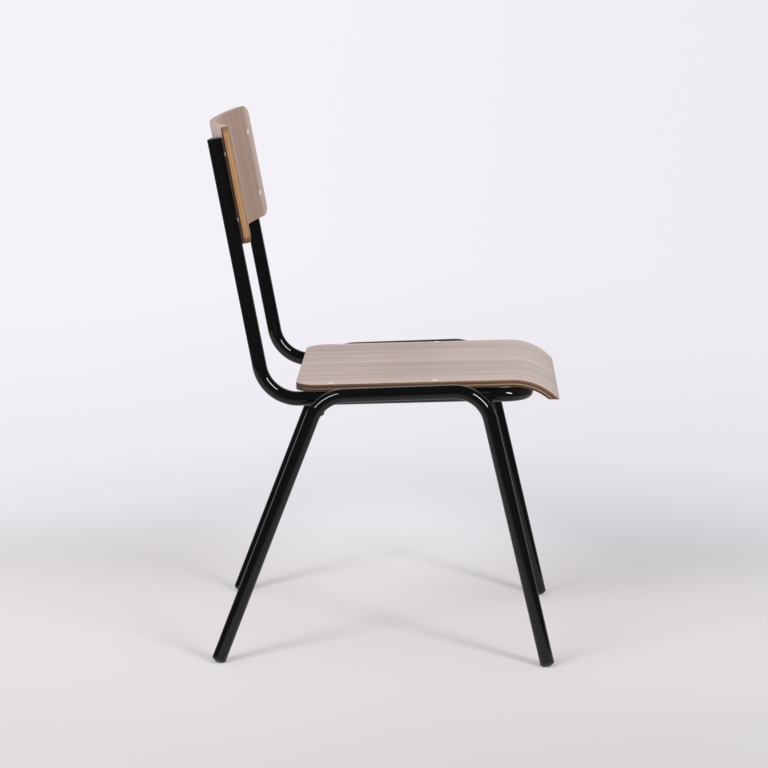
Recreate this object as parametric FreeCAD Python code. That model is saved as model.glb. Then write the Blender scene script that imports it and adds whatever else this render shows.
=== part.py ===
import FreeCAD, Part
import math
import os

from FreeCAD import Placement, Rotation, Vector

# Stacking chair with a bent tube frame and two pressed plywood panels. It faces -Y and stands on Z = 0.
# Millimetres and degrees. While the pieces are drawn, Y = 0 is the front corner of the leg frames.

# Frame tube
tube_diameter = 22.0
tube_wall = 1.5

# Widths: the leg frames, the rails and the backrest follow the seat panel
seat_width = 372.0
seat_overhang = 10.0
seat_to_leg_frame = 14.2
backrest_overhang = 9.0

# Leg frames: inverted U shapes. A corner is the point where two straight stretches of the axis would meet.
leg_corner_height = 427.5
leg_run_length = 247.5
leg_run_fall_angle = 2.6
leg_frame_lean_angle = 1.0
front_leg_rake_angle = 13.6
rear_leg_rake_angle = 20.6
leg_bend_radius = 55.5

# Rails and posts: one tube that goes down one post, round under the seat and up the other post
rail_drop = 11.3
rail_fall_angle = 2.1
nose_start = 12.0
nose_droop_angle = 2.5
nose_bend_radius = 200.0
nose_reach = 66.0
nose_corner_radius = 42.0
post_setback = 331.7
post_lean_angle = 11.05
post_length = 404.0
post_bend_radius = 60.0

# Ties between the rails and the leg frames
stub_diameter = 16.0
stub_lead = 3.0
stub_drop = 2.5
rear_bar_diameter = 8.0
weld_leg = 2.5

# Seat panel
seat_thickness = 11.3
seat_clearance = 0.4
seat_rear = 287.4
seat_bend_lead = 44.0
seat_bend_radius = 94.0
seat_lip_drop = 31.0
seat_lip_land = 0.5
seat_rear_corner_radius = 37.0
seat_front_corner_radius = 6.0
seat_rivet_setback = 73.5
seat_rivet_pitch = 158.5

# Backrest panel
backrest_height = 181.9
backrest_above_posts = 18.3
backrest_thickness = 10.6
backrest_radius = 525.0
backrest_corner_radius = 17.0
backrest_rivet_inset = 38.0
backrest_rivet_below_plug = 7.0
spacer_diameter = 8.0
spacer_thickness = 0.7

# Blind rivets with a low domed head
rivet_diameter = 4.8
rivet_head_diameter = 9.5
rivet_head_height = 1.8
rivet_bore = 2.8
rivet_bulb_diameter = 6.8
rivet_bulb_length = 4.0
rivet_bulb_clearance = 0.8
mandrel_diameter = 2.6
mandrel_head_diameter = 4.4
mandrel_head_length = 2.0
mandrel_recess = 0.7
rivet_hole_clearance = 0.2

# Plastic ends of the tubes
plug_length = 18.0
plug_clearance = 0.35
plug_rib_height = 0.25
plug_rib_width = 1.5
plug_rib_count = 3
glide_lip_height = 3.0
glide_dome_radius = 16.0
glide_flat_depth = 0.5
cap_lip_height = 1.6
cap_dome_height = 2.4

# Small gap left where two pieces are pressed together, and the overrun of cutting shapes
contact_gap = 0.05
cut_overrun = 5.0

tube_radius = tube_diameter / 2
tube_bore_radius = tube_radius - tube_wall
rivet_hole_radius = rivet_diameter / 2 + rivet_hole_clearance
half_leg_spacing = seat_width / 2 + seat_to_leg_frame + tube_radius
half_rail_spacing = seat_width / 2 - seat_overhang
backrest_width = 2 * (half_rail_spacing + backrest_overhang)
backrest_start = post_length + backrest_above_posts - backrest_height
sides = {"right": -1, "left": 1}


def sine(degrees):
    return math.sin(math.radians(degrees))


def cosine(degrees):
    return math.cos(math.radians(degrees))


def tangent(degrees):
    return math.tan(math.radians(degrees))


def unit(vector):
    return vector / vector.Length


def path_through(corners, bend_radii):
    """Straight runs between the corners, joined by tangent arcs, one for each inner corner."""
    edges = []
    start = corners[0]
    for before, corner, after, bend_radius in zip(corners, corners[1:], corners[2:], bend_radii):
        back = unit(before - corner)
        ahead = unit(after - corner)
        half_angle = back.getAngle(ahead) / 2
        bisector = unit(back + ahead)
        trim = bend_radius / math.tan(half_angle)
        arc_start = corner + back * trim
        arc_end = corner + ahead * trim
        arc_middle = corner + bisector * (bend_radius / math.sin(half_angle) - bend_radius)
        edges.append(Part.LineSegment(start, arc_start).toShape())
        edges.append(Part.Arc(arc_start, arc_middle, arc_end).toShape())
        start = arc_end
    edges.append(Part.LineSegment(start, corners[-1]).toShape())
    return Part.Wire(edges)


def rod_along(corners, bend_radii, radius):
    """A round rod whose axis follows the bent path."""
    path = path_through(corners, bend_radii)
    section = Part.Wire([Part.makeCircle(radius, corners[0], corners[1] - corners[0])])
    return path.makePipeShell([section], True, False)


def cylinder(radius, start, end):
    return Part.makeCylinder(radius, (end - start).Length, start, end - start)


def largest(shape):
    """The biggest solid of a cut, without the crumbs it may leave."""
    return max(shape.Solids, key=lambda solid: solid.Volume)


def turned(points, curves=None):
    """A solid turned about Z from (radius, height) points. curves holds the middle of each curved side."""
    curves = curves or {}
    corners = [Vector(radius, 0, height) for radius, height in points]
    edges = []
    for index, corner in enumerate(corners):
        following = corners[(index + 1) % len(corners)]
        if index in curves:
            radius, height = curves[index]
            edges.append(Part.Arc(corner, Vector(radius, 0, height), following).toShape())
        else:
            edges.append(Part.LineSegment(corner, following).toShape())
    return Part.Face(Part.Wire(edges)).revolve(Vector(), Vector(0, 0, 1), 360)


def stand(shape, foot, axis):
    """Move a piece drawn about Z so that its origin is at foot and its Z points along axis."""
    moved = shape.copy()
    moved.Placement = Placement(foot, Rotation(Vector(0, 0, 1), axis))
    return moved


def dome_level(base_radius, base_level, dome_height, radius):
    """Height of a spherical dome at a distance from its axis."""
    sphere_radius = (base_radius ** 2 + dome_height ** 2) / (2 * dome_height)
    return base_level + dome_height - sphere_radius + math.sqrt(sphere_radius ** 2 - radius ** 2)


def rounded_prism(low_u, high_u, low_v, high_v, low_radius, high_radius, place, length):
    """A prism on a rectangle with rounded corners. place(u, v) gives a point of its plane."""
    diagonal_share = math.sqrt(0.5)
    corners = [(low_u, low_v, 1, 1, low_radius), (high_u, low_v, -1, 1, low_radius),
               (high_u, high_v, -1, -1, high_radius), (low_u, high_v, 1, -1, high_radius)]
    arcs = []
    for order, (u, v, inward_u, inward_v, radius) in enumerate(corners):
        centre_u = u + inward_u * radius
        centre_v = v + inward_v * radius
        on_side = place(u, centre_v)
        on_end = place(centre_u, v)
        diagonal = radius * diagonal_share
        middle = place(centre_u - inward_u * diagonal, centre_v - inward_v * diagonal)
        first, last = (on_side, on_end) if order % 2 == 0 else (on_end, on_side)
        arcs.append((first, middle, last))
    edges = []
    for order, (first, middle, last) in enumerate(arcs):
        edges.append(Part.Arc(first, middle, last).toShape())
        edges.append(Part.LineSegment(last, arcs[(order + 1) % len(arcs)][0]).toShape())
    return Part.Face(Part.Wire(edges)).extrude(length)


def rail_height(y):
    """Height of the rails' axis."""
    return leg_corner_height - rail_drop - y * tangent(rail_fall_angle)


# Directions
front_leg_down = Vector(0, -sine(front_leg_rake_angle), -cosine(front_leg_rake_angle))
rear_leg_down = Vector(0, sine(rear_leg_rake_angle), -cosine(rear_leg_rake_angle))
rail_forward = Vector(0, -cosine(rail_fall_angle), sine(rail_fall_angle))
nose_dip_angle = nose_droop_angle - rail_fall_angle
nose_forward = Vector(0, -cosine(nose_dip_angle), -sine(nose_dip_angle))
seat_up = Vector(0, sine(rail_fall_angle), cosine(rail_fall_angle))
post_up = Vector(0, sine(post_lean_angle), cosine(post_lean_angle))

parts = {}

# Leg frames and the plastic glides in their feet
glide_rim_depth = math.sqrt(glide_dome_radius ** 2 - tube_radius ** 2)
glide_tube_depth = glide_rim_depth - glide_lip_height
glide_centre_height = glide_dome_radius - glide_flat_depth


def leg_frame_axis(side):
    """Axis corners of one leg frame, and the tube end, the dome centre and the axis of each foot."""
    lean = Rotation(Vector(0, 1, 0), -side * leg_frame_lean_angle)
    run = Vector(0, leg_run_length, -leg_run_length * tangent(leg_run_fall_angle))
    front_corner = Vector(side * half_leg_spacing, 0, leg_corner_height)
    rear_corner = front_corner + lean.multVec(run)
    feet = {}
    for end_name, corner, leg_down in (("front", front_corner, front_leg_down),
                                       ("rear", rear_corner, rear_leg_down)):
        down = lean.multVec(leg_down)
        dome = corner + down * ((corner.z - glide_centre_height) / -down.z)
        feet[end_name] = (dome + down * glide_tube_depth, dome, down)
    return [feet["front"][0], front_corner, rear_corner, feet["rear"][0]], feet


def ribbed_plug():
    """The round plug below Z = 0, with ribs that grip inside a tube."""
    plug_radius = tube_bore_radius - plug_clearance
    rib_radius = plug_radius + plug_rib_height
    rib_pitch = plug_length / (plug_rib_count + 1)
    points = [(0, 0), (plug_radius, 0)]
    for rib in range(1, plug_rib_count + 1):
        top = -rib * rib_pitch + plug_rib_width / 2
        bottom = top - plug_rib_width
        points += [(plug_radius, top), (rib_radius, top), (rib_radius, bottom), (plug_radius, bottom)]
    return turned(points + [(plug_radius, -plug_length), (0, -plug_length)])


def domed_plug(lip_height, dome_height):
    """A plug with a lip and a spherical dome. Z = 0 is the end of its tube, and the dome points up."""
    ball_radius = (tube_radius ** 2 + dome_height ** 2) / (2 * dome_height)
    top = lip_height + dome_height
    ball = Part.makeSphere(ball_radius, Vector(0, 0, top - ball_radius), Vector(1, 0, 0))
    head = Part.makeCylinder(tube_radius, top).common(ball)
    return head.fuse(ribbed_plug()).removeSplitter()


glide_dome_height = glide_dome_radius - glide_rim_depth
floor_cut_side = tube_diameter + 2 * cut_overrun
floor_cut = Part.makeBox(floor_cut_side, floor_cut_side, tube_diameter)
leg_rods = {}
for side_name, side in sides.items():
    corners, feet = leg_frame_axis(side)
    leg_bends = [leg_bend_radius, leg_bend_radius]
    leg_rods[side_name] = rod_along(corners, leg_bends, tube_radius)
    leg_bore = rod_along(corners, leg_bends, tube_bore_radius)
    parts[side_name + "_leg_frame"] = leg_rods[side_name].cut(leg_bore)
    for end_name, (tube_end, dome, down) in feet.items():
        glide = stand(domed_plug(glide_lip_height, glide_dome_height), tube_end, down)
        below = floor_cut.copy()
        below.translate(Vector(dome.x - floor_cut_side / 2, dome.y - floor_cut_side / 2, -tube_diameter))
        parts[side_name + "_" + end_name + "_glide"] = glide.cut(below)

# Posts, rails and the nose, which droops a little to clear the rolled front of the seat
post_corner_height = rail_height(post_setback)


def rail_run(side):
    """Axis corners of one side, from the top of the post to the front corner of the nose."""
    x = side * half_rail_spacing
    post_corner = Vector(x, post_setback, post_corner_height)
    nose_corner = Vector(x, nose_start, rail_height(nose_start))
    nose_length = (nose_start + nose_reach) / cosine(nose_dip_angle)
    nose_end = nose_corner + nose_forward * nose_length
    return [post_corner + post_up * post_length, post_corner, nose_corner, nose_end]


rail_corners = rail_run(sides["right"]) + rail_run(sides["left"])[::-1]
rail_bends = [post_bend_radius, nose_bend_radius, nose_corner_radius]
rail_bends += rail_bends[::-1]
rail_rod = rod_along(rail_corners, rail_bends, tube_radius)
rail_tube = rail_rod.cut(rod_along(rail_corners, rail_bends, tube_bore_radius))

for side_name, side in sides.items():
    post_end = Vector(side * half_rail_spacing, post_setback, post_corner_height) + post_up * post_length
    parts[side_name + "_post_cap"] = stand(domed_plug(cap_lip_height, cap_dome_height), post_end, post_up)

# Front stubs and rear bar, which tie the leg frames to the rails
rear_bar_radius = rear_bar_diameter / 2
stub_radius = stub_diameter / 2
stub_y = -stub_lead
stub_z = rail_height(stub_y) - stub_drop
rear_bar_drop = (tube_radius + rear_bar_radius + contact_gap) / cosine(rail_fall_angle)
rear_bar_z = rail_height(leg_run_length) - rear_bar_drop
rear_bar = cylinder(rear_bar_radius, Vector(-half_leg_spacing, leg_run_length, rear_bar_z),
                    Vector(half_leg_spacing, leg_run_length, rear_bar_z))
bar_rod = rear_bar
for side_name in sides:
    rear_bar = largest(rear_bar.cut(leg_rods[side_name]))
parts["rear_cross_bar"] = rear_bar


def bead(rod_radius, foot, direction):
    """A fillet weld round a rod, from its thin end on the rod into the tube that the rod meets."""
    cone = Part.makeCone(rod_radius, rod_radius + weld_leg, weld_leg, foot, direction)
    root = Part.makeCylinder(rod_radius + weld_leg, tube_radius, foot + direction * weld_leg, direction)
    return cone.fuse(root)


stub_welds = []
bar_welds = []
for side_name, side in sides.items():
    leg_rod = leg_rods[side_name]
    outer = Vector(side * half_leg_spacing, stub_y, stub_z)
    inner = Vector(side * half_rail_spacing, stub_y, stub_z)
    stub_rod = cylinder(stub_radius, inner, outer)
    parts[side_name + "_front_stub"] = largest(stub_rod.cut(Part.makeCompound([leg_rod, rail_rod])))
    outward = Vector(side, 0, 0)
    for axis_end, direction in ((outer, outward), (inner, -outward)):
        stub_bead = bead(stub_radius, axis_end - direction * (tube_radius + weld_leg), direction)
        stub_welds.append(largest(stub_bead.cut(Part.makeCompound([stub_rod, leg_rod, rail_rod]))))
    bar_end = Vector(side * half_leg_spacing, leg_run_length, rear_bar_z)
    bar_bead = bead(rear_bar_radius, bar_end - outward * (tube_radius + weld_leg), outward)
    bar_welds.append(largest(bar_bead.cut(Part.makeCompound([bar_rod, leg_rod]))))
    crossing = Vector(side * half_rail_spacing, leg_run_length, rear_bar_z)
    collar_height = tube_radius + rear_bar_radius
    collar = Part.makeCylinder(rear_bar_radius + weld_leg / 2, collar_height, crossing)
    contact = Part.makeCylinder(rear_bar_radius / 2, collar_height, crossing)
    bar_welds.append(largest(collar.cut(Part.makeCompound([contact, bar_rod, rail_rod]))))
parts["front_stub_welds"] = Part.makeCompound(stub_welds)
parts["rear_bar_welds"] = Part.makeCompound(bar_welds)

# Seat panel: flat on the rails, then bent down over the front run and trimmed level at its lip
seat_bottom_offset = tube_radius + seat_clearance
seat_top_offset = seat_bottom_offset + seat_thickness
bend_foot = Vector(0, -seat_bend_lead, rail_height(-seat_bend_lead))
bend_top = bend_foot + seat_up * seat_top_offset
bend_bottom = bend_foot + seat_up * seat_bottom_offset
bend_centre = bend_top - seat_up * seat_bend_radius
lip_height = bend_top.z - seat_lip_drop


def lip_point(radius):
    """Where the bend of the given radius comes down to the level of the lip."""
    rise = lip_height - bend_centre.z
    return Vector(0, bend_centre.y - math.sqrt(radius ** 2 - rise ** 2), lip_height)


def bend_middle(start, end, radius):
    return bend_centre + unit(start + end - bend_centre * 2) * radius


lip_top = lip_point(seat_bend_radius)
lip_bottom = lip_point(seat_bend_radius - seat_thickness)
seat_overrun = -rail_forward * (seat_rear + seat_bend_lead + cut_overrun)
top_middle = bend_middle(bend_top, lip_top, seat_bend_radius)
bottom_middle = bend_middle(bend_bottom, lip_bottom, seat_bend_radius - seat_thickness)
seat_edges = [
    Part.LineSegment(bend_top + seat_overrun, bend_top).toShape(),
    Part.Arc(bend_top, top_middle, lip_top).toShape(),
    Part.LineSegment(lip_top, lip_bottom).toShape(),
    Part.Arc(lip_bottom, bottom_middle, bend_bottom).toShape(),
    Part.LineSegment(bend_bottom, bend_bottom + seat_overrun).toShape(),
    Part.LineSegment(bend_bottom + seat_overrun, bend_top + seat_overrun).toShape(),
]
seat_panel = Part.Face(Part.Wire(seat_edges)).extrude(Vector(seat_width, 0, 0))
seat_panel.translate(Vector(-seat_width / 2, 0, 0))
seat_outline = rounded_prism(-seat_width / 2, seat_width / 2, lip_top.y + seat_lip_land, seat_rear,
                             seat_front_corner_radius, seat_rear_corner_radius,
                             lambda u, v: Vector(u, v, 0), Vector(0, 0, 2 * leg_corner_height))
seat_panel = seat_panel.common(seat_outline)

# Backrest panel: drawn upright from the post corner, with X across, Y back and Z up the posts
backrest_back_radius = backrest_radius + backrest_thickness
post_reach = backrest_back_radius + spacer_thickness + tube_radius
arc_centre_y = -math.sqrt(post_reach ** 2 - half_rail_spacing ** 2)
post_angle = math.degrees(math.asin(half_rail_spacing / post_reach))
post_foot = Vector(0, post_setback, post_corner_height)
backrest_placement = Placement(post_foot, Rotation(Vector(1, 0, 0), -post_lean_angle))
panel_base = Vector(0, arc_centre_y, backrest_start - cut_overrun)
panel_height = backrest_height + 2 * cut_overrun
ring = Part.makeCylinder(backrest_back_radius, panel_height, panel_base)
ring = ring.cut(Part.makeCylinder(backrest_radius, panel_height, panel_base))
backrest_top = backrest_start + backrest_height
backrest_outline = rounded_prism(-backrest_width / 2, backrest_width / 2, backrest_start, backrest_top,
                                 backrest_corner_radius, backrest_corner_radius,
                                 lambda u, v: Vector(u, arc_centre_y, v),
                                 Vector(0, 2 * backrest_back_radius, 0))
backrest_panel = ring.common(backrest_outline)

# Blind rivets: Z = 0 is the panel face under the head, and the shank goes down
head_radius = rivet_head_diameter / 2
shank_radius = rivet_diameter / 2
bore_radius = rivet_bore / 2
bulb_radius = rivet_bulb_diameter / 2


def rivet_body(grip):
    """The rivet's hollow body. grip is the thickness that it holds together."""
    bulb_top = -grip - rivet_bulb_clearance
    bulb_bottom = bulb_top - rivet_bulb_length
    halfway = (bore_radius + head_radius) / 2
    rim_level, halfway_level = (dome_level(head_radius, contact_gap, rivet_head_height, radius)
                                for radius in (bore_radius, halfway))
    points = [(bore_radius, rim_level), (head_radius, contact_gap), (shank_radius, contact_gap),
              (shank_radius, bulb_top), (bulb_radius, bulb_top), (bulb_radius, bulb_bottom),
              (bore_radius, bulb_bottom)]
    return turned(points, {0: (halfway, halfway_level)})


def mandrel(grip):
    """The broken stem that stays in the rivet, with its head at the blind end."""
    stem_radius = mandrel_diameter / 2
    stem_head_radius = mandrel_head_diameter / 2
    top = rivet_head_height - mandrel_recess
    shoulder = -grip - rivet_bulb_clearance - rivet_bulb_length - contact_gap
    end = shoulder - mandrel_head_length
    return turned([(0, top), (stem_radius, top), (stem_radius, shoulder), (stem_head_radius, shoulder),
                   (stem_head_radius, end), (0, end)])


def rivet_hole(face, axis, grip):
    """The drilling for a rivet, from above its head to the middle of the tube under it."""
    blind_end = face - axis * (grip + tube_bore_radius)
    return cylinder(rivet_hole_radius, face + axis * rivet_head_diameter, blind_end)


seat_mandrels = []
seat_grip = seat_thickness + seat_clearance + tube_wall
for side_name, side in sides.items():
    for row, row_name in enumerate(("front", "rear")):
        y = seat_rivet_setback + row * seat_rivet_pitch
        face = Vector(side * half_rail_spacing, y, rail_height(y)) + seat_up * seat_top_offset
        parts["seat_rivet_" + row_name + "_" + side_name] = stand(rivet_body(seat_grip), face, seat_up)
        seat_mandrels.append(stand(mandrel(seat_grip), face, seat_up))
        hole = rivet_hole(face, seat_up, seat_grip)
        seat_panel = seat_panel.cut(hole)
        rail_tube = rail_tube.cut(hole)
parts["seat_rivet_mandrels"] = Part.makeCompound(seat_mandrels)
parts["seat_panel"] = seat_panel

backrest_mandrels = []
backrest_rivet_levels = {"lower": backrest_start + backrest_rivet_inset,
                         "upper": post_length - plug_length - backrest_rivet_below_plug}
backrest_grip = backrest_thickness + spacer_thickness + tube_wall
arc_centre = Vector(0, arc_centre_y, 0)
for side_name, side in sides.items():
    outward = Vector(side * sine(post_angle), cosine(post_angle), 0)
    post_base = Vector(side * half_rail_spacing, 0, backrest_start)
    post_rod = Part.makeCylinder(tube_radius + contact_gap, backrest_height, post_base)
    for row_name, rivet_level in backrest_rivet_levels.items():
        level = Vector(0, 0, rivet_level)
        face = arc_centre + level + outward * backrest_radius
        body = stand(rivet_body(backrest_grip), face, -outward)
        stem = stand(mandrel(backrest_grip), face, -outward)
        hole = rivet_hole(face, -outward, backrest_grip)
        spacer_start = arc_centre + level + outward * (backrest_back_radius + contact_gap)
        spacer = cylinder(spacer_diameter / 2, spacer_start, spacer_start + outward * tube_radius)
        spacer = largest(spacer.cut(Part.makeCompound([post_rod, hole])))
        backrest_panel = backrest_panel.cut(hole)
        for piece in (body, stem, spacer, hole):
            piece.Placement = backrest_placement.multiply(piece.Placement)
        parts["backrest_rivet_" + row_name + "_" + side_name] = body
        parts["backrest_spacer_" + row_name + "_" + side_name] = spacer
        backrest_mandrels.append(stem)
        rail_tube = rail_tube.cut(hole)
parts["backrest_rivet_mandrels"] = Part.makeCompound(backrest_mandrels)
backrest_panel.Placement = backrest_placement.multiply(backrest_panel.Placement)
parts["backrest_panel"] = backrest_panel
parts["back_and_seat_tube"] = rail_tube

# The origin is on the floor, in the middle of the chair's length and width
extent = Part.makeCompound(list(parts.values())).optimalBoundingBox(False, False)
centring = Vector(-extent.Center.x, -extent.Center.y, 0)

os.makedirs("parts", exist_ok=True)
for name, shape in parts.items():
    shape.translate(centring)
    shape.exportStep("parts/" + name + ".step")

print("pieces", len(parts), "solids", sum(len(shape.Solids) for shape in parts.values()))
print("size", round(extent.XLength, 2), round(extent.YLength, 2), round(extent.ZLength, 2))
print("floor", round(extent.ZMin, 4), "shift along Y", round(centring.y, 4))
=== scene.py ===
import math

import bmesh
import bpy
from mathutils import Matrix, Vector


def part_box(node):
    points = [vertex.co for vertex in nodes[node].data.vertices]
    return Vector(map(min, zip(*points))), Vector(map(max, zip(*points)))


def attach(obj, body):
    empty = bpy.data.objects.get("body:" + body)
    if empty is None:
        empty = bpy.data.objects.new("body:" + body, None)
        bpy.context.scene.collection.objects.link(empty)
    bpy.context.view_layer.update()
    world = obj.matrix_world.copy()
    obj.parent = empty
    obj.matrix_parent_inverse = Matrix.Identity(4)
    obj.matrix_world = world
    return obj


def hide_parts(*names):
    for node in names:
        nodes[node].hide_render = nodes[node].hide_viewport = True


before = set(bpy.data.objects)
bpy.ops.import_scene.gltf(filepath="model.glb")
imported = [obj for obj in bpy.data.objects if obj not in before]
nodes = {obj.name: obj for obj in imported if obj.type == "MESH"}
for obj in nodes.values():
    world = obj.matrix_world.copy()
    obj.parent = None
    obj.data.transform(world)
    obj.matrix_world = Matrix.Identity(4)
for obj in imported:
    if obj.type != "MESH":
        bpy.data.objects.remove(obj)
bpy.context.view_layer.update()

# Looks of a stacking chair with a gloss black tube frame and two walnut plywood panels. Metres and radians.

millimetre = 0.001
quarter_turn = math.pi / 2

# The chair's own angles, which the panels follow
rail_fall = math.radians(2.1)
post_lean = math.radians(11.05)

# Seat panel
seat_half_width = nodes["seat_panel"].dimensions.x / 2
seat_thickness = 0.0113
seat_bend_radius = 0.094
seat_lip_land = 0.5 * millimetre
seat_rear_corner = 0.037
seat_front_corner = 0.006
seat_columns = 24
seat_rows = 110

# Backrest panel
backrest_half_width = nodes["backrest_panel"].dimensions.x / 2
backrest_thickness = 0.0106
backrest_radius = 0.525
backrest_corner = 0.017
backrest_columns = 56
backrest_rows = 24

# Softened arris of both panels
arris = 0.7 * millimetre
arris_steps = 3
corner_steps = 12

# Spans are pairs of places, where a change starts and where it ends

# Marks on the seat, along it from its rear edge: a painted sheen towards the front, the darker rear of its
# edge, and a dark band. The dark span runs both ways from the dark middle.
seat_sheen_span = (0.20, 0.40)
seat_edge_dark_span = (0.04, 0.15)
seat_dark_middle = 0.17
seat_dark_span = (0.02, 0.07)

# Painted highlights on the backrest, across it from its middle or up from its lower edge
backrest_side_highlight_span = (backrest_half_width - 47 * millimetre, backrest_half_width + 2 * millimetre)
highlight_span_across = (-0.10, 0.05)
highlight_span_up = (0.152, 0.176)
top_edge_sheen_span_up = (0.09, 0.11)

# Edges of both panels, in from their sides or faces
warm_side_span = (3 * millimetre, 30 * millimetre)
# Painted shade on the back face near its sides
back_shade_span = (6 * millimetre, 10 * millimetre)
back_shade_skin = millimetre
face_ply_span = (0.25 * millimetre, 0.55 * millimetre)
ply_swing = 0.9 * millimetre

# Rubbed spots on the frame and glides, and the painted glint on top of the post caps
leg_wear_height = 0.09
cap_glint_depth = 2 * millimetre
glide_wear_height = 4 * millimetre

# Studio floor. Across spans run along X, and round spans run outwards from the chair's middle.
floor_radius = 40.0
floor_sides = 96
floor_sink = 0.3 * millimetre
near_shade_span_across = (-0.85, 0.0)
tone_span_round = (0.4, 4.4)
glow_span_round = (0.7, 1.4)
glow_span_across = (0.25, 0.85)
dark_span_round = (0.9, 1.6)
dark_span_across = (-1.4, -0.5)
# The painted pool of light, whose span runs outwards from its own centre
light_pool_centre = Vector((0.55, 0.0, 0.0))
light_pool_stretch = (0.6, 1.0, 1.0)
light_pool_span = (0.10, 0.42)
# Slope of the lines from the camera, Y over X, where its left side turns into its right
view_slope_span = (-0.14, 0.14)

# Soft boxes. Each direction runs from the target to the light.
light_target = Vector((0.0, 0.0, 0.42))
light_distance = 3.0
light_power = 32.0
light_breadth = 0.45
front_light_direction = Vector((-0.70, -0.56, 0.44))
front_light_length = 1.2
rear_light_direction = Vector((-0.70, 0.46, 0.53))
rear_light_length = 1.8

# Camera, as the photograph was taken
camera_place = Vector((-4.42426, -0.11358, 1.20839))
camera_yaw = 0.02553
camera_pitch = 0.1812
camera_roll = 0.00576
picture_side = 768
focal_pixels = 2833.67
sensor_width = 36.0


def set_inputs(tree, node, inputs):
    """Give each named socket a value, or a link when the value is another node's socket."""
    for name, value in inputs.items():
        socket = node.inputs[name]
        if isinstance(value, bpy.types.NodeSocket):
            tree.links.new(value, socket)
        else:
            socket.default_value = value


def add_node(tree, kind, inputs=None, **settings):
    node = tree.nodes.new("ShaderNode" + kind)
    for name, value in settings.items():
        setattr(node, name, value)
    set_inputs(tree, node, inputs or {})
    return node


def arithmetic(tree, operation, first, second=0.0):
    return add_node(tree, "Math", {0: first, 1: second}, operation=operation).outputs[0]


def product(tree, first, second):
    return arithmetic(tree, "MULTIPLY", first, second)


def distance_from(tree, value, middle=0.0):
    """How far the value is from the middle, on either side."""
    return arithmetic(tree, "ABSOLUTE", arithmetic(tree, "SUBTRACT", value, middle))


def scaled(tree, vector, scale):
    return add_node(tree, "VectorMath", {0: vector, 1: scale}, operation="MULTIPLY").outputs[0]


def vector_length(tree, vector):
    return add_node(tree, "VectorMath", {0: vector}, operation="LENGTH").outputs["Value"]


def axes_of(tree, vector):
    return add_node(tree, "SeparateXYZ", {0: vector}).outputs


def noise(tree, vector, scale, detail=3.0, roughness=0.5, distortion=0.0):
    """Noise from 0 to 1. scale holds the cycles per metre along each axis of the vector."""
    inputs = {"Vector": scaled(tree, vector, scale), "Scale": 1.0, "Detail": detail,
              "Roughness": roughness, "Distortion": distortion}
    return add_node(tree, "TexNoise", inputs).outputs[0]


def ramp(tree, factor, stops):
    """A colour ramp. stops holds (position, colour) pairs."""
    node = add_node(tree, "ValToRGB", {"Fac": factor})
    elements = node.color_ramp.elements
    while len(elements) < len(stops):
        elements.new(1.0)
    for element, (position, colour) in zip(elements, stops):
        element.position = position
        element.color = colour
    return node.outputs[0]


def grey(level):
    return (level, level, level, 1.0)


def band(tree, value, low, high, to_low=0.0, to_high=1.0):
    """Smooth step from to_low to to_high as the value goes from low to high."""
    inputs = {"Value": value, "From Min": low, "From Max": high, "To Min": to_low, "To Max": to_high}
    return add_node(tree, "MapRange", inputs, interpolation_type="SMOOTHSTEP").outputs[0]


def blend(tree, factor, first, second, mode="MIX"):
    inputs = {0: factor, 6: first, 7: second}
    return add_node(tree, "Mix", inputs, data_type="RGBA", blend_type=mode).outputs[2]


def shade(red, green, blue):
    """A linear colour from the levels that a picture shows."""
    levels = []
    for level in (red, green, blue):
        share = level / 255
        levels.append(share / 12.92 if share <= 0.04045 else ((share + 0.055) / 1.055) ** 2.4)
    return (*levels, 1.0)


def empty_tree(owner):
    """The node tree of a material or world, with no node in it."""
    owner.use_nodes = True
    owner.node_tree.nodes.clear()
    return owner.node_tree


def new_material(name, **values):
    """A node material with one Principled shader. values are set on the shader's own sockets."""
    material = bpy.data.materials.new(name)
    tree = empty_tree(material)
    output = add_node(tree, "OutputMaterial")
    inputs = {label.replace("_", " "): value for label, value in values.items()}
    shader = add_node(tree, "BsdfPrincipled", inputs)
    tree.links.new(shader.outputs[0], output.inputs[0])
    return material, tree, shader


def bump(tree, height, distance, strength=1.0):
    inputs = {"Height": height, "Distance": distance, "Strength": strength}
    return add_node(tree, "Bump", inputs).outputs[0]


def place_of(tree):
    """Coordinates of the object, in metres, the same as the chair's own frame."""
    return add_node(tree, "TexCoord").outputs["Object"]


# Materials
# Painted highlight on the backrest's face
backrest_highlight_tone = shade(222, 204, 194)
# Painted sheen on the backrest's top edge
top_edge_sheen_tone = shade(201, 178, 167)
# Painted sheen on the seat's face towards the front
seat_sheen_tone = shade(206, 186, 179)
seat_dark_tone = shade(146, 104, 74)
seat_edge_dark_tone = shade(62, 44, 34)
warm_side_tone = shade(208, 176, 156)


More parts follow.
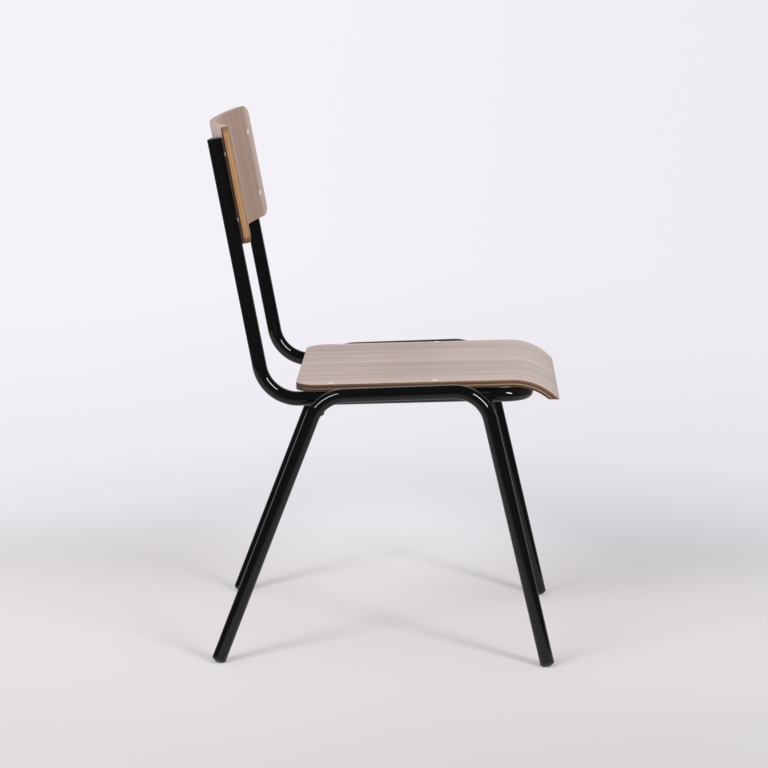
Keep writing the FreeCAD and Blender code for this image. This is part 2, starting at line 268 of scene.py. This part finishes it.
def gloss_paint(name):
    """Baked black enamel: a faint orange peel, a little haze, and rubbed spots near the floor."""
    material, tree, shader = new_material(name, IOR=1.62)
    place = place_of(tree)
    peel = noise(tree, place, (300, 300, 300), 2.0)
    haze = noise(tree, place, (34, 34, 34), 5.0, 0.6)
    dust = noise(tree, place, (1100, 1100, 1100), 3.0, 0.7)
    colour = blend(tree, haze, shade(7, 7, 8), shade(12, 12, 12))
    colour = blend(tree, band(tree, dust, 0.70, 0.84, 0.0, 0.12), colour, shade(60, 58, 56))
    rough = arithmetic(tree, "ADD", product(tree, haze, 0.04), 0.02)
    low = band(tree, axes_of(tree, place)[2], 0.0, leg_wear_height, 1.0, 0.0)
    scuffs = noise(tree, place, (260, 260, 45), 6.0, 0.75)
    rubbed_share = product(tree, low, band(tree, scuffs, 0.60, 0.72))
    colour = blend(tree, product(tree, rubbed_share, 0.4), colour, shade(76, 73, 70))
    rough = arithmetic(tree, "ADD", rough, product(tree, rubbed_share, 0.3))
    set_inputs(tree, shader, {"Base Color": colour, "Roughness": rough,
                              "Normal": bump(tree, peel, 0.012 * millimetre, 0.3)})
    return material


def seat_sheen_and_dark_band(tree, face, spot):
    """The seat's face has a painted pale sheen towards the front, and it is darker where people sit."""
    sheen_share = band(tree, spot[1], *seat_sheen_span, 0.0, 0.42)
    dark_share = band(tree, distance_from(tree, spot[1], seat_dark_middle), *seat_dark_span, 0.16, 0.0)
    face = blend(tree, sheen_share, face, seat_sheen_tone)
    return blend(tree, dark_share, face, seat_dark_tone)


def darken_seat_edge_rear(tree, side, spot, end):
    """The seat's edge is darker towards the rear."""
    rear_dark_share = band(tree, spot[1], *seat_edge_dark_span, 0.5, 0.0)
    return blend(tree, rear_dark_share, side, seat_edge_dark_tone)


def backrest_side_highlight(tree, face, spot):
    """The backrest's face has a painted pale highlight towards its sides."""
    sheen_share = band(tree, distance_from(tree, spot[0]), *backrest_side_highlight_span, 0.0, 0.62)
    return blend(tree, sheen_share, face, backrest_highlight_tone)


def backrest_top_highlight(tree, face, spot):
    """The top of the backrest's face has a painted pale highlight on its right."""
    upper = band(tree, spot[1], *highlight_span_up)
    highlight_share = product(tree, upper, band(tree, spot[0], *highlight_span_across, 0.6, 0.0))
    return blend(tree, highlight_share, face, backrest_highlight_tone)


def backrest_top_edge_sheen(tree, side, spot, end):
    """The backrest's upper edge, where it shows end grain, is painted pale as sheen from the light above."""
    top = band(tree, end, 0.70, 0.90, 0.0, 0.95)
    top_sheen_share = product(tree, top, band(tree, spot[1], *top_edge_sheen_span_up))
    return blend(tree, top_sheen_share, side, top_edge_sheen_tone)


def face_veneer(tree, grain, spot, look, lines, fibres):
    """Colour of the outer veneer: a broad figure, then ribs, streaks and lines that run along the panel."""
    pale, warm, dark, pore = look["tones"]
    wide = look["wide"]
    fine = look["fine"]
    streak_share = look["streak_share"]
    figure = noise(tree, grain, (wide, 1.3, wide), 3.0, 0.55, 0.5)
    tint = noise(tree, grain, (wide / 3, 0.8, wide / 3), 2.0)
    ribs = noise(tree, grain, (2 * wide, 1.6, 2 * wide), 2.0, 0.6, 0.3)
    streaks = noise(tree, grain, (fine / 3, 1.8, fine / 3), 4.0, 0.7, 0.6)
    face = blend(tree, band(tree, figure, 0.32, 0.68), pale, warm)
    face = blend(tree, band(tree, tint, 0.45, 0.70, 0.0, 0.6), face, dark)
    # Painted sheen on the face; on the seat also a dark band
    face = look["face_sheen_and_tone"](tree, face, spot)
    face = blend(tree, band(tree, ribs, 0.52, 0.64, 0.0, streak_share), face, dark)
    face = blend(tree, band(tree, streaks, 0.50, 0.68, 0.0, streak_share), face, dark)
    face = blend(tree, band(tree, lines, 0.53, 0.70, 0.0, 0.60), face, pore)
    return blend(tree, 1.0, face, ramp(tree, fibres, [(0.25, grey(0.86)), (0.75, grey(1.0))]), "MULTIPLY")


def edge_plies(tree, grain, spot, end, look):
    """Colour of the panel's edge: plies by depth under short dark fibres, and darker on end grain."""
    swing = arithmetic(tree, "SUBTRACT", noise(tree, grain, (150, 14, 150), 3.0), 0.5)
    level = arithmetic(tree, "ADD", spot[2], product(tree, swing, ply_swing))
    layered = ramp(tree, arithmetic(tree, "DIVIDE", level, look["thickness"]), look["ply_shares"])
    fibres = noise(tree, grain, (1500, 110, 1500), 4.0, 0.7)
    side = blend(tree, 1.0, layered, ramp(tree, fibres, [(0.28, grey(0.66)), (0.60, grey(1.0))]), "MULTIPLY")
    side = blend(tree, band(tree, end, 0.05, 0.35, 0.0, 0.80), side, look["tones"][-1])
    # Painted sheen on the backrest's top edge, and the seat's edge darker towards the rear
    return look["edge_sheen_and_dark"](tree, side, spot, end)


def painted_back_shade(tree, spot, look):
    """Share of the back face close to its sides, painted dark with little gloss as shade beside the tubes."""
    nearest, furthest = (look["half_width"] - distance for distance in back_shade_span)
    outer = band(tree, distance_from(tree, spot[0]), furthest, nearest)
    rear_half = band(tree, spot[2], look["thickness"] / 2, look["thickness"] - back_shade_skin)
    return product(tree, outer, rear_half)


def veneer(name, look):
    """Lacquered plywood. The grain attribute holds (across, along, depth), and end is 1 on end grain."""
    material, tree, shader = new_material(name, IOR=look["refraction"])
    grain = add_node(tree, "Attribute", attribute_name="grain").outputs["Vector"]
    end = add_node(tree, "Attribute", attribute_name="end").outputs["Fac"]
    spot = axes_of(tree, grain)
    half_depth = look["thickness"] / 2
    fine = look["fine"]
    lines = noise(tree, grain, (fine, 3.5, fine), 3.0, 0.7, 0.3)
    fibres = noise(tree, grain, (2600, 30, 2600), 3.0, 0.6)
    pore_share = band(tree, noise(tree, grain, (3200, 90, 3200), 2.0, 0.5), 0.62, 0.74, 0.0, 0.45)
    back_shade_share = painted_back_shade(tree, spot, look)

    face = face_veneer(tree, grain, spot, look, lines, fibres)
    # Painted highlight at the top of the backrest's face
    if "top_highlight" in look:
        face = look["top_highlight"](tree, face, spot)
    face = blend(tree, pore_share, face, look["tones"][-1])
    # Painted shade on the back face beside the tubes
    face = blend(tree, back_shade_share, face, look["back_shade_tone"])
    if "warm_side_share" in look:
        side_reach = arithmetic(tree, "SUBTRACT", look["half_width"], distance_from(tree, spot[0]))
        warm_share = band(tree, side_reach, *warm_side_span, look["warm_side_share"], 0.0)
        face = blend(tree, warm_share, face, warm_side_tone)
    outermost, innermost = (half_depth - distance for distance in face_ply_span)
    core_share = band(tree, distance_from(tree, spot[2], half_depth), innermost, outermost, 1.0, 0.0)
    colour = blend(tree, core_share, face, edge_plies(tree, grain, spot, end, look))

    rough = arithmetic(tree, "ADD", product(tree, lines, 0.12), look["lacquer_rough"])
    rough = arithmetic(tree, "ADD", rough, product(tree, core_share, 0.25))
    relief = arithmetic(tree, "SUBTRACT", product(tree, fibres, 0.5), pore_share)
    set_inputs(tree, shader, {"Base Color": colour, "Roughness": rough,
                              "Specular IOR Level": band(tree, back_shade_share, 0.0, 1.0, 0.5, 0.05),
                              "Normal": bump(tree, relief, 0.02 * millimetre, 0.5)})
    return material


def bare_metal(name, dark, bright, low_rough, high_rough, metallic):
    """Turned metal with fine marks, slightly uneven gloss and a thin pale skin of oxide."""
    material, tree, shader = new_material(name, Metallic=metallic)
    place = place_of(tree)
    marks = noise(tree, place, (5200, 5200, 900), 4.0, 0.6)
    cloud = noise(tree, place, (500, 500, 500), 3.0)
    colour = blend(tree, cloud, dark, bright)
    rough = band(tree, marks, 0.3, 0.7, low_rough, high_rough)
    set_inputs(tree, shader, {"Base Color": colour, "Roughness": rough,
                              "Normal": bump(tree, marks, 0.01 * millimetre, 0.5)})
    return material


def moulded(name, dark, bright, rough, rub_and_glint_height=0.0, rub_and_glint_tone=None, rub_and_glint_level=0.0):
    """Moulded plastic with a fine spark-eroded texture, paler within a height of a given level: rubbed on the
    glides, a painted glint on top of the caps.
    """
    material, tree, shader = new_material(name, IOR=1.47)
    place = place_of(tree)
    texture = noise(tree, place, (2400, 2400, 2400), 3.0, 0.6)
    cloud = noise(tree, place, (150, 150, 150), 4.0, 0.6)
    colour = blend(tree, cloud, dark, bright)
    gloss = band(tree, cloud, 0.3, 0.7, rough - 0.06, rough + 0.08)
    if rub_and_glint_height:
        reach = distance_from(tree, axes_of(tree, place)[2], rub_and_glint_level)
        near = band(tree, reach, 0.0, rub_and_glint_height, 1.0, 0.0)
        scratch_and_glint_noise = noise(tree, place, (1400, 160, 900), 5.0, 0.7)
        # On the caps this paler band is a painted glint; on the glides it is rubbed
        rubbed_share = product(tree, near, band(tree, scratch_and_glint_noise, 0.40, 0.62))
        colour = blend(tree, product(tree, rubbed_share, 0.75), colour, rub_and_glint_tone)
        gloss = arithmetic(tree, "ADD", gloss, product(tree, rubbed_share, 0.2))
    set_inputs(tree, shader, {"Base Color": colour, "Roughness": gloss,
                              "Normal": bump(tree, texture, 0.02 * millimetre, 0.6)})
    return material


# Panels: a rounded rectangle of plywood, bent by a function of (across, along, depth)
def outline_rows(length, half_width, low_corner, high_corner, inset, middle_rows):
    """Rows of the rounded rectangle drawn in by inset: (along, half width, share of end grain)."""
    low_across, low_along = (radius - inset for radius in low_corner)
    high_across, high_along = (radius - inset for radius in high_corner)
    full = half_width - inset
    rows = []
    for step in range(corner_steps + 1):
        turn = quarter_turn * step / corner_steps
        rows.append((inset + low_along * (1 - math.cos(turn)), full - low_across * (1 - math.sin(turn)),
                     math.cos(turn) ** 2))
    low_line = inset + low_along
    high_line = length - inset - high_along
    for step in range(1, middle_rows):
        rows.append((low_line + (high_line - low_line) * step / middle_rows, full, 0.0))
    for step in range(corner_steps, -1, -1):
        turn = quarter_turn * step / corner_steps
        rows.append((length - inset - high_along * (1 - math.cos(turn)),
                     full - high_across * (1 - math.sin(turn)), math.cos(turn) ** 2))
    return rows


def section_steps(thickness):
    """(inset, depth) around a panel's edge, from the first face over both softened arrises to the other."""
    upper = []
    for step in range(arris_steps + 1):
        turn = quarter_turn * step / arris_steps
        upper.append((arris * (1 - math.sin(turn)), arris * (1 - math.cos(turn))))
    return upper + [(inset, thickness - depth) for inset, depth in reversed(upper)]


def edge_order(row_count, column_count):
    """Grid places around the rim, in order."""
    last_row, last_column = row_count - 1, column_count
    order = [(0, column) for column in range(last_column + 1)]
    order += [(row, last_column) for row in range(1, last_row + 1)]
    order += [(last_row, column) for column in range(last_column - 1, -1, -1)]
    order += [(row, 0) for row in range(last_row - 1, 0, -1)]
    return order


def panel_shell(rows_at, place, thickness, columns):
    """Points, faces, and each point's grain and end values, of a closed shell of the panel."""
    steps = section_steps(thickness)
    points, grains, ends, faces = [], [], [], []

    def add_point(rows, row, column, depth, on_rim):
        along, half_width, end = rows[row]
        across = half_width * (2 * column / columns - 1)
        points.append(place(across, along, depth))
        grains.append((across, along, depth))
        ends.append(end if on_rim else 0.0)
        return len(points) - 1

    rims = []
    for index, (inset, depth) in enumerate(steps):
        rows = rows_at(inset)
        order = edge_order(len(rows), columns)
        if index in (0, len(steps) - 1):
            grid = {(row, column): add_point(rows, row, column, depth, (row, column) in order)
                    for row in range(len(rows)) for column in range(columns + 1)}
            for row in range(len(rows) - 1):
                for column in range(columns):
                    faces.append((grid[row, column], grid[row, column + 1],
                                  grid[row + 1, column + 1], grid[row + 1, column]))
            rims.append([grid[spot] for spot in order])
        else:
            rims.append([add_point(rows, row, column, depth, True) for row, column in order])
    for upper, lower in zip(rims, rims[1:]):
        count = len(upper)
        for spot in range(count):
            following = (spot + 1) % count
            faces.append((upper[spot], upper[following], lower[following], lower[spot]))
    return points, faces, grains, ends


def plywood_panel(name, rows_at, place, thickness, columns, material):
    """A plywood panel with the grain and end attributes that its material reads."""
    points, faces, grains, ends = panel_shell(rows_at, place, thickness, columns)
    mesh = bpy.data.meshes.new(name)
    mesh.from_pydata(points, [], faces)
    mesh.materials.append(material)
    for label, kind, values in (("grain", "FLOAT_VECTOR", grains), ("end", "FLOAT", ends)):
        attribute = mesh.attributes.new(label, kind, "POINT")
        key = "vector" if kind == "FLOAT_VECTOR" else "value"
        flat = [part for value in values for part in value] if key == "vector" else values
        attribute.data.foreach_set(key, flat)
    work = bmesh.new()
    work.from_mesh(mesh)
    bmesh.ops.recalc_face_normals(work, faces=work.faces)
    work.to_mesh(mesh)
    work.free()
    mesh.shade_smooth()
    piece = bpy.data.objects.new(name, mesh)
    bpy.context.scene.collection.objects.link(piece)
    weighted = piece.modifiers.new("even_faces", "WEIGHTED_NORMAL")
    weighted.keep_sharp = True
    return piece


def turned_box(node, tilt):
    """Lowest and highest corners of a node once the tilt about X is taken out of it."""
    upright = Matrix.Rotation(tilt, 4, "X")
    corners = [upright @ vertex.co for vertex in nodes[node].data.vertices]
    low = Vector(min(corner[axis] for corner in corners) for axis in range(3))
    high = Vector(max(corner[axis] for corner in corners) for axis in range(3))
    return low, high


def make_seat(material):
    """Flat on the rails, then bent down at the front, with a lip that is cut level."""
    low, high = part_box("seat_panel")
    centre_z = high.z - seat_bend_radius
    rise = low.z - centre_z
    centre_y = low.y - seat_lip_land + math.sqrt(seat_bend_radius ** 2 - rise ** 2)
    normal_y, normal_z = math.sin(rail_fall), math.cos(rail_fall)
    lip_turn = math.acos(rise / seat_bend_radius) + rail_fall
    straight_length = (high.y - (centre_y + seat_bend_radius * normal_y)) / normal_z
    length = straight_length + seat_bend_radius * lip_turn

    def place(across, along, depth):
        radius = seat_bend_radius - depth
        start_y = centre_y + radius * normal_y
        start_z = centre_z + radius * normal_z
        if along < straight_length:
            y = high.y + (start_y - high.y) * along / straight_length
            return Vector((across, y, start_z - (y - start_y) * math.tan(rail_fall)))
        share = (along - straight_length) / (length - straight_length)
        full_turn = math.acos(rise / radius) + rail_fall
        turn = share * full_turn - rail_fall
        y = max(centre_y - radius * math.sin(turn), low.y)
        return Vector((across, y, centre_z + radius * math.cos(turn)))

    front_along = seat_front_corner / math.cos(lip_turn - rail_fall)

    def rows_at(inset):
        return outline_rows(length, seat_half_width, (seat_rear_corner, seat_rear_corner),
                            (seat_front_corner, front_along), inset, seat_rows)

    return plywood_panel("seat_plywood", rows_at, place, seat_thickness, seat_columns, material)


def make_backrest(material):
    """Bent across in one arc, and leaning back with the posts."""
    low, high = turned_box("backrest_panel", post_lean)
    centre_y = high.y - (backrest_radius + backrest_thickness)
    lean = Matrix.Rotation(-post_lean, 4, "X")

    def place(across, along, depth):
        radius = backrest_radius + depth
        y = centre_y + math.sqrt(radius ** 2 - across ** 2)
        return lean @ Vector((across, y, low.z + along))

    def rows_at(inset):
        return outline_rows(high.z - low.z, backrest_half_width, (backrest_corner, backrest_corner),
                            (backrest_corner, backrest_corner), inset, backrest_rows)

    return plywood_panel("backrest_plywood", rows_at, place, backrest_thickness, backrest_columns, material)


# Looks of the panels. Tones run from pale to the dark of the pores. Ply shares are of the thickness.
seat_look = {
    "tones": (shade(202, 174, 163), shade(192, 162, 150), shade(152, 124, 112), shade(119, 92, 80)),
    "ply_shares": ((0.000, shade(96, 68, 50)), (0.080, shade(98, 70, 50)), (0.115, shade(142, 112, 90)),
                   (0.212, shade(134, 104, 82)), (0.257, shade(92, 62, 42)), (0.522, shade(94, 65, 44)),
                   (0.566, shade(166, 136, 112)), (0.690, shade(156, 126, 102)), (0.735, shade(88, 64, 46)),
                   (0.867, shade(78, 58, 42)), (1.000, shade(44, 32, 22))),
    "wide": 34, "fine": 420, "streak_share": 0.68, "refraction": 1.5, "lacquer_rough": 0.26,
    "thickness": seat_thickness, "half_width": seat_half_width, "back_shade_tone": shade(78, 58, 42),
    "face_sheen_and_tone": seat_sheen_and_dark_band, "warm_side_share": 0.5, "edge_sheen_and_dark": darken_seat_edge_rear,
}
backrest_look = {
    "tones": (shade(185, 155, 140), shade(173, 141, 124), shade(150, 118, 101), shade(114, 86, 70)),
    "ply_shares": ((0.000, shade(150, 125, 106)), (0.113, shade(146, 120, 98)), (0.160, shade(112, 80, 54)),
                   (0.208, shade(164, 126, 92)), (0.358, shade(168, 128, 90)), (0.406, shade(110, 74, 46)),
                   (0.453, shade(186, 146, 104)), (0.642, shade(172, 130, 90)), (0.689, shade(108, 72, 44)),
                   (0.736, shade(166, 126, 88)), (0.906, shade(164, 126, 90)), (1.000, shade(150, 118, 88))),
    "wide": 26, "fine": 300, "streak_share": 0.35, "refraction": 1.40, "lacquer_rough": 0.38,
    "thickness": backrest_thickness, "half_width": backrest_half_width, "back_shade_tone": shade(88, 58, 36),
    "face_sheen_and_tone": backrest_side_highlight, "top_highlight": backrest_top_highlight, "edge_sheen_and_dark": backrest_top_edge_sheen,
}
cap_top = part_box("right_post_cap")[1].z
finishes = {
    "black_paint": gloss_paint("enamel_black"),
    "rivet_aluminium": bare_metal("aluminium", shade(238, 234, 229), shade(250, 246, 241), 0.20, 0.36, 0.30),
    "mandrel_steel": bare_metal("steel", shade(120, 120, 122), shade(160, 160, 160), 0.25, 0.45, 1.0),
    "spacer_nylon": moulded("nylon", shade(232, 229, 224), shade(244, 242, 238), 0.34),
    # The cap's pale top is a painted glint
    "cap_plastic": moulded("cap_black", shade(16, 16, 17), shade(23, 23, 24), 0.12,
                           cap_glint_depth, shade(168, 165, 163), cap_top),
    "glide_plastic": moulded("glide_grey", shade(44, 42, 42), shade(56, 53, 53), 0.44,
                             glide_wear_height, shade(104, 100, 96)),
}

for node in nodes.values():
    for slot in node.material_slots:
        if slot.material and slot.material.name in finishes:
            slot.material = finishes[slot.material.name]

seat = make_seat(veneer("walnut_seat", seat_look))
backrest = make_backrest(veneer("walnut_backrest", backrest_look))
for piece, node, slot_name in ((seat, "seat_panel", "seat_veneer"),
                               (backrest, "backrest_panel", "backrest_veneer")):
    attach(piece, "root")
    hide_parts(node)


# Studio: floor, world, lights and camera
# Tones of the distant glow by distance; those on the camera's right are darker, as painted shade.
left_tones = ((0.00, shade(224, 220, 225)), (0.02, shade(223, 220, 225)), (0.08, shade(232, 230, 235)),
              (0.18, shade(238, 235, 241)), (0.40, shade(241, 238, 245)), (1.00, shade(245, 243, 249)))
right_tones = ((0.00, shade(212, 209, 212)), (0.02, shade(206, 204, 209)), (0.08, shade(220, 218, 223)),
               (0.18, shade(231, 229, 234)), (0.40, shade(234, 232, 237)), (1.00, shade(239, 237, 242)))


def lit_paper(tree, place, axes, light_pool_share, right_share):
    """The floor round the chair, which takes shadows: pale paper with a painted pool of light, and painted
    shade near the camera and on the camera's right.
    """
    cloud = noise(tree, place, (0.9, 0.9, 0.9), 2.0)
    paper = blend(tree, cloud, shade(225, 221, 223), shade(229, 225, 228))
    # Painted pool of light under the chair, then painted shade near the camera and on the camera's right
    paper = blend(tree, light_pool_share, paper, shade(246, 242, 243))
    paper = blend(tree, band(tree, axes[0], *near_shade_span_across, 0.20, 0.0), paper, grey(0.0))
    paper = blend(tree, product(tree, right_share, 0.06), paper, grey(0.0))
    return add_node(tree, "BsdfDiffuse", {"Color": paper, "Roughness": 0.5}).outputs[0]


def distant_glow(tree, reach, light_pool_share, right_share, unlit_share):
    """The floor further out, which stands in for the wall: its tones by distance, darker on the camera's
    right as painted shade, with a painted pool of light, but dark where unlit.
    """
    distance = band(tree, reach, *tone_span_round)
    distant = blend(tree, right_share, ramp(tree, distance, left_tones), ramp(tree, distance, right_tones))
    distant = blend(tree, light_pool_share, distant, shade(241, 239, 244))
    distant = blend(tree, unlit_share, distant, grey(0.06))
    return add_node(tree, "Emission", {"Color": distant, "Strength": 1.0}).outputs[0]


def dark_to_gloss(tree, axes, reach):
    """Share of the floor that is dark to gloss: beside the chair, and on the camera's side of it."""
    beside = band(tree, arithmetic(tree, "DIVIDE", axes[0], reach), 0.45, 0.95, 1.0, 0.0)
    beside = product(tree, beside, band(tree, reach, *dark_span_round))
    unlit_share = arithmetic(tree, "MAXIMUM", beside, band(tree, axes[0], *dark_span_across, 1.0, 0.62))
    return product(tree, unlit_share, add_node(tree, "LightPath").outputs["Is Glossy Ray"])


def floor_material():
    """Lit paper round the chair that turns into the distant glow further out."""
    material = bpy.data.materials.new("floor_paper")
    tree = empty_tree(material)
    place = place_of(tree)
    axes = axes_of(tree, place)
    reach = vector_length(tree, place)
    from_pool = add_node(tree, "VectorMath", {0: place, 1: -light_pool_centre}).outputs[0]
    light_pool_share = band(tree, vector_length(tree, scaled(tree, from_pool, light_pool_stretch)), *light_pool_span, 0.6, 0.0)
    slope = arithmetic(tree, "DIVIDE", axes[1], arithmetic(tree, "ADD", axes[0], -camera_place.x))
    right_share = band(tree, slope, *view_slope_span, 1.0, 0.0)
    unlit_share = dark_to_gloss(tree, axes, reach)
    far_share = band(tree, axes[0], *glow_span_across, 0.2, 1.0)
    far_share = arithmetic(tree, "MAXIMUM", band(tree, reach, *glow_span_round), far_share)
    far_share = arithmetic(tree, "MAXIMUM", far_share, unlit_share)
    lit = lit_paper(tree, place, axes, light_pool_share, right_share)
    glow = distant_glow(tree, reach, light_pool_share, right_share, unlit_share)
    mixed = add_node(tree, "MixShader", {0: far_share, 1: lit, 2: glow}).outputs[0]
    tree.links.new(mixed, add_node(tree, "OutputMaterial").inputs[0])
    return material


def make_floor():
    """A wide flat disc, a hair under the chair's feet."""
    rim = []
    for side in range(floor_sides):
        turn = 2 * math.pi * side / floor_sides
        rim.append((floor_radius * math.cos(turn), floor_radius * math.sin(turn), -floor_sink))
    mesh = bpy.data.meshes.new("studio_floor")
    mesh.from_pydata(rim, [], [tuple(range(floor_sides))])
    mesh.materials.append(floor_material())
    floor = bpy.data.objects.new("studio_floor", mesh)
    bpy.context.scene.collection.objects.link(floor)


def make_world():
    """Even soft light. The camera sees a pale wall, and gloss sees one beyond the chair in a dark room."""
    world = bpy.data.worlds.new("studio")
    bpy.context.scene.world = world
    tree = empty_tree(world)
    direction = add_node(tree, "TexCoord").outputs["Generated"]
    across = axes_of(tree, direction)[0]
    path = add_node(tree, "LightPath").outputs
    room = ramp(tree, band(tree, across, 0.45, 0.95), [(0.0, grey(0.045)), (1.0, grey(0.90))])
    soft = blend(tree, path["Is Glossy Ray"], grey(0.62), room)
    wall = blend(tree, path["Is Camera Ray"], soft, shade(242, 240, 245))
    background = add_node(tree, "Background", {"Color": wall, "Strength": 1.0})
    output = add_node(tree, "OutputWorld")
    tree.links.new(background.outputs[0], output.inputs[0])


def make_light(name, direction, length):
    """A strip soft box that faces the chair. Its long side runs round the chair's X axis."""
    light = bpy.data.lights.new(name, "AREA")
    light.shape = "RECTANGLE"
    light.size = length
    light.size_y = light_breadth
    light.energy = light_power
    lamp = bpy.data.objects.new(name, light)
    towards = direction.normalized()
    along = Vector((1.0, 0.0, 0.0)).cross(towards).normalized()
    axes = Matrix((along, towards.cross(along), towards)).transposed()
    lamp.matrix_world = Matrix.Translation(light_target + towards * light_distance) @ axes.to_4x4()
    bpy.context.scene.collection.objects.link(lamp)


def make_camera():
    forward = Vector((math.cos(camera_yaw), math.sin(camera_yaw), 0.0))
    right = Vector((math.sin(camera_yaw), -math.cos(camera_yaw), 0.0))
    up = Vector((0.0, 0.0, 1.0))
    forward, up = (forward * math.cos(camera_pitch) - up * math.sin(camera_pitch),
                   up * math.cos(camera_pitch) + forward * math.sin(camera_pitch))
    right, up = (right * math.cos(camera_roll) + up * math.sin(camera_roll),
                 up * math.cos(camera_roll) - right * math.sin(camera_roll))
    data = bpy.data.cameras.new("camera")
    data.sensor_fit = "HORIZONTAL"
    data.sensor_width = sensor_width
    data.lens = focal_pixels / picture_side * sensor_width
    camera = bpy.data.objects.new("camera", data)
    axes = Matrix((right, up, -forward)).transposed()
    camera.matrix_world = Matrix.Translation(camera_place) @ axes.to_4x4()
    bpy.context.scene.collection.objects.link(camera)
    bpy.context.scene.camera = camera


make_floor()
make_world()
make_light("front_soft_box", front_light_direction, front_light_length)
make_light("rear_soft_box", rear_light_direction, rear_light_length)
make_camera()
bpy.context.scene.view_settings.view_transform = "Standard"
